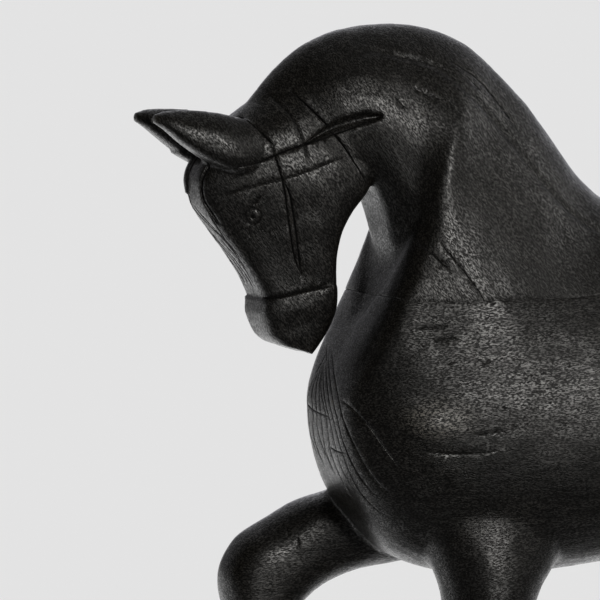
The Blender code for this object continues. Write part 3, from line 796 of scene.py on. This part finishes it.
def standing_proud(points, normals):
    """How far the muzzle, the end of the browband and the near shoulder stand out at each point."""
    below = np.interp(points[:, 0], *zip(*NOSE_STRAP)) - points[:, 2]
    fade_end, fade_length = MUZZLE_FADE
    muzzle = MUZZLE_STEP * np.clip(below, 0, 1) * np.clip((fade_end - below) / fade_length, 0, 1)
    muzzle *= np.clip((MUZZLE_BACK - points[:, 0]) / MUZZLE_BACK_FADE, 0, 1)
    edge, bottom, top = BROW_BLOCK
    inside = np.minimum(np.minimum(points[:, 2] - bottom, top - points[:, 2]), points[:, 1] - edge)
    block = BROW_BLOCK_PROUD * np.clip(inside, 0, 1)
    facing = (normals[:, 0] < -FACING_FRONT) & (points[:, 0] < FACE_END)
    from_shoulder = np.linalg.norm((points[:, (0, 2)] - SHOULDER) / SHOULDER_SIZE, axis=1)
    shoulder = SHOULDER_PROUD * np.exp(-from_shoulder**2) * (normals[:, 1] < -FACING_SIDE)
    return muzzle + shoulder + np.where(facing, block, 0)


# The rasp leaves a faint unevenness of two sizes, as depth and length
RASP_MARKS = ((0.28, 11.0), (0.10, 4.0))


def rasp_marks(points):
    marks = np.zeros(len(points))
    for depth, length in RASP_MARKS:
        marks += [depth * noise.noise(Vector(point) / length) for point in points]
    return marks


bm = bmesh.new()
bm.from_mesh(horse.data)


def points_and_normals():
    points = np.array([v.co for v in bm.verts]) / MM + (STAND_BACK, 0, 0)
    return points, np.array([v.normal for v in bm.verts])


for reach in FINER_NEAR_CUTS:
    near = cut_depths(*points_and_normals())[1] < reach
    edges = [edge for edge in bm.edges if near[edge.verts[0].index] and near[edge.verts[1].index]]
    bmesh.ops.subdivide_edges(bm, edges=edges, cuts=1, use_grid_fill=True)
    bmesh.ops.triangulate(bm, faces=[face for face in bm.faces if len(face.verts) > 4])
    bm.verts.index_update()
    bm.normal_update()
points, normals = points_and_normals()
depth = cut_depths(points, normals)[0] - standing_proud(points, normals) + rasp_marks(points)
for vertex, normal, deep in zip(bm.verts, normals, depth):
    vertex.co -= Vector(normal) * deep * MM
bmesh.ops.bisect_plane(
    bm, geom=[*bm.verts, *bm.edges, *bm.faces], plane_co=(0, 0, SOLE * MM), plane_no=(0, 0, 1),
    clear_inner=True,
)
bmesh.ops.holes_fill(bm, edges=[edge for edge in bm.edges if edge.is_boundary])
bmesh.ops.triangulate(bm, faces=bm.faces)
bm.to_mesh(horse.data)
bm.free()

fewer = horse.modifiers.new("fewer_facets", "DECIMATE")
fewer.ratio = min(1, HORSE_TRIANGLES / len(horse.data.polygons))
apply_modifiers(horse)
hollows = joined("ear_gouge", (EAR_HOLLOW, moved(EAR_HOLLOW, y=LEFT_HOLLOW_IN, y_side=-1)))
scoop = horse.modifiers.new("ear_hollows", "BOOLEAN")
scoop.operation = "DIFFERENCE"
scoop.object = hollows
apply_modifiers(horse)
bpy.data.objects.remove(hollows)
normals = np.array([normal.vector for normal in horse.data.vertex_normals])
# How much painted shade each point in a cut gets, kept on the mesh for the material
painted_cut_shade = horse.data.attributes.new("painted_shade_in_cuts", "FLOAT", "POINT")
painted_cut_shade.data.foreach_set("value", cut_depths(horse_points(horse.data), normals)[2].astype(np.float32))


# Its stain and grain: the upper board's grain leans down and back, the lower board's runs level
UPPER_GRAIN = 52.0
# Painted shade in the scored cuts: the colour they are darkened to, and their matt roughness
PAINTED_CUT_SHADE = (0.0015, 0.0014, 0.0012, 1)
CUT_ROUGHNESS = 0.8
# The near shoulder's fibres get a full polish and a paler colour, a painted sheen, where it swells out
# most
SHOULDER_POLISH_AND_SHEEN = (-84.0, -50.0, 264.0)
SHOULDER_POLISH_AND_SHEEN_SIZE = (27.0, 24.0, 14.0)
SHOULDER_POLISH_AND_SHEEN_RIM = (1.0, 0.1)
PAINTED_SHEEN_FIBRES = (0.34, 0.315, 0.27, 1)
HORSE_GRAIN = {"Length": 1.7, "Width": 0.6}
HORSE_RELIEF = 0.24
# The muzzle hangs below the seam but belongs to the upper board: it is all that lies before and
# above this point (x, z). The grain changes over the width of the joint.
CHIN = (-118.5, 288.5)
CHIN_JOINT = 0.5
SEAM_JOINT = 0.2


def laid_over(tree, shader, share, looks):
    """Lays the looks over those that the shader has, by share."""
    for name, look in looks.items():
        below = shader.inputs[name].links[0].from_socket
        kind = "RGBA" if name == "Base Color" else "FLOAT"
        tree.links.new(blended(tree, share, below, look, kind), shader.inputs[name])


def horse_material():
    material, tree, shader, place = stained_wood("stained_carving")
    along, _, up = node(tree, "ShaderNodeSeparateXYZ", {0: place}).outputs

    def past(value, middle, joint):
        return stepped(tree, value, (middle - joint) * MM, (middle + joint) * MM)

    above_seam = past(up, SEAM_HEIGHT, SEAM_JOINT)
    before_chin = past(along, CHIN[0] - STAND_BACK, -CHIN_JOINT)
    muzzle = math_of(tree, "MULTIPLY", before_chin, past(up, CHIN[1], CHIN_JOINT))
    upper = math_of(tree, "MAXIMUM", above_seam, muzzle)
    leaning = node(
        tree, "ShaderNodeMapping", {"Vector": place, "Rotation": (0, math.radians(-UPPER_GRAIN), 0)},
    ).outputs[0]
    steep = grouped(tree, PORES, Vector=leaning, **HORSE_GRAIN)
    level = grouped(tree, PORES, Vector=place, **HORSE_GRAIN)
    grain = [blended(tree, upper, level[name], steep[name]) for name in GRAIN]
    finish_wood(tree, shader, place, grain, HORSE_RELIEF)
    middle_x, middle_y, middle_z = SHOULDER_POLISH_AND_SHEEN
    middle = ((middle_x - STAND_BACK) * MM, middle_y * MM, middle_z * MM)
    apart = node(tree, "ShaderNodeVectorMath", {0: place, 1: middle}, operation="SUBTRACT").outputs[0]
    sizes = tuple(size * MM for size in SHOULDER_POLISH_AND_SHEEN_SIZE)
    apart = node(tree, "ShaderNodeVectorMath", {0: apart, 1: sizes}, operation="DIVIDE").outputs[0]
    apart = node(tree, "ShaderNodeVectorMath", {0: apart}, operation="LENGTH").outputs["Value"]
    # Painted sheen: paler fibres on the near shoulder, along with a real full polish there
    polish_and_painted_sheen = math_of(tree, "MULTIPLY", stepped(tree, apart, *SHOULDER_POLISH_AND_SHEEN_RIM), grain[2])
    laid_over(tree, shader, polish_and_painted_sheen, {"Base Color": PAINTED_SHEEN_FIBRES, "Coat Weight": 1.0})
    # The cuts take the painted shade's darker colour, and a matt finish without polish
    painted_shade_here = node(tree, "ShaderNodeAttribute", attribute_name="painted_shade_in_cuts").outputs["Fac"]
    matt = {"Base Color": PAINTED_CUT_SHADE, "Roughness": CUT_ROUGHNESS, "Coat Weight": 0.0}
    laid_over(tree, shader, painted_shade_here, matt)
    return material


horse.data.shade_smooth()
horse.data.materials.clear()
horse.data.materials.append(horse_material())
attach(horse, "root")
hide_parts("horse")


# The studio
# A pale floor that runs out of sight into a pale backdrop of the same tone. Behind the horse both
# are lit, and the room on the near side is dark. A low window lights the near side and another the
# hind side, and a wide pale ceiling adds a little from above.

FLOOR_SIZE = 200.0
FLOOR_ALBEDO = 0.2
# The camera sees one even tone. Only the polished wood mirrors how far the floor is lit: behind the
# horse, and as far as the second pair, in metres, but everywhere on the tail's side.
BACKDROP_TONE = 0.77
FLOOR_FILL = 0.695
FLOOR_GLOW = 1.15
FLOOR_LIT_FROM = (-0.18, 0.08)
FLOOR_LIT_TO = (2.2, 1.1)
FLOOR_LIT_ASIDE = (-0.2, 0.4)
# The room and backdrop above the floor, by the direction in which they lie
BACKDROP_LIT_FROM = (-0.05, 0.45)
BACKDROP_LIT_ASIDE = (-0.1, 0.25)
UNLIT_SHARE = 0.25
DARK_ROOM = (0.034, 0.031, 0.026, 1)
LIT_BACKDROP = (1.0, 1.0, 1.06, 1)
VIEW_AZIMUTH = -24.0
VIEW_HEIGHT = 5.0
AIM = Vector((-0.1622, 0.0, 0.319))
DISTANCE = 1.8
PICTURE_SPAN = 0.288
FILM_WIDTH = 36

bpy.ops.mesh.primitive_plane_add(size=FLOOR_SIZE)
floor = bpy.context.object
floor.name = "floor"
paper = bpy.data.materials.new("pale_paper")
paper.use_nodes = True
tree = paper.node_tree
shader = tree.nodes["Principled BSDF"]
shader.inputs["Base Color"].default_value = (FLOOR_ALBEDO, FLOOR_ALBEDO, FLOOR_ALBEDO, 1)
shader.inputs["Roughness"].default_value = 1.0
shader.inputs["Specular IOR Level"].default_value = 0.0
shader.inputs["Emission Color"].default_value = (1, 1, 1, 1)
seen = node(tree, "ShaderNodeLightPath").outputs["Is Camera Ray"]
spot = node(tree, "ShaderNodeTexCoord").outputs["Object"]
sideways, across, _ = node(tree, "ShaderNodeSeparateXYZ", {0: spot}).outputs
near_by = stepped(tree, across, *FLOOR_LIT_TO)
lit = math_of(tree, "MAXIMUM", near_by, stepped(tree, sideways, *FLOOR_LIT_ASIDE))
lit = math_of(tree, "MAXIMUM", lit, UNLIT_SHARE)
lit = math_of(tree, "MULTIPLY", lit, stepped(tree, across, *FLOOR_LIT_FROM))
glow = blended(tree, seen, math_of(tree, "MULTIPLY", lit, FLOOR_GLOW), FLOOR_FILL)
tree.links.new(glow, shader.inputs["Emission Strength"])
floor.data.materials.append(paper)


def far_lamp(name, towards, spread, strength, colour):
    """A lamp so far off that it lights all of the floor alike: spread is how wide it looks."""
    light = bpy.data.lights.new(name, "SUN")
    light.energy = strength
    light.angle = math.radians(spread)
    light.color = colour
    lamp = bpy.data.objects.new(name, light)
    bpy.context.scene.collection.objects.link(lamp)
    lamp.rotation_euler = Vector(towards).to_track_quat("Z", "Y").to_euler()


far_lamp("window", (0.28, -0.95, 0.15), 12, 0.72, (1.0, 0.98, 0.94))
far_lamp("side_window", (0.9, -0.35, 0.3), 26, 0.32, (1.0, 0.98, 0.95))
far_lamp("ceiling", (0.15, 0.1, 1.0), 90, 0.22, (1.0, 1.0, 1.0))

world = bpy.data.worlds.new("studio")
world.use_nodes = True
bpy.context.scene.world = world
tree = world.node_tree
room = tree.nodes["Background"]
seen = node(tree, "ShaderNodeLightPath").outputs["Is Camera Ray"]
towards = node(tree, "ShaderNodeTexCoord").outputs["Generated"]
sideways, across, _ = node(tree, "ShaderNodeSeparateXYZ", {0: towards}).outputs
aside = math_of(tree, "MAXIMUM", stepped(tree, sideways, *BACKDROP_LIT_ASIDE), UNLIT_SHARE)
lit = math_of(tree, "MULTIPLY", stepped(tree, across, *BACKDROP_LIT_FROM), aside)
around = blended(tree, lit, DARK_ROOM, LIT_BACKDROP, "RGBA")
tone = (BACKDROP_TONE, BACKDROP_TONE, BACKDROP_TONE, 1)
tree.links.new(blended(tree, seen, around, tone, "RGBA"), room.inputs["Color"])
bpy.context.scene.view_settings.view_transform = "Standard"

camera_data = bpy.data.cameras.new("camera")
camera_data.sensor_width = FILM_WIDTH
camera_data.lens = FILM_WIDTH * DISTANCE / PICTURE_SPAN
camera = bpy.data.objects.new("camera", camera_data)
bpy.context.scene.collection.objects.link(camera)
turn, rise = math.radians(VIEW_AZIMUTH), math.radians(VIEW_HEIGHT)
back = Vector((math.sin(turn) * math.cos(rise), -math.cos(turn) * math.cos(rise), math.sin(rise)))
camera.location = AIM + back * DISTANCE
camera.rotation_euler = (-back).to_track_quat("-Z", "Y").to_euler()
bpy.context.scene.camera = camera
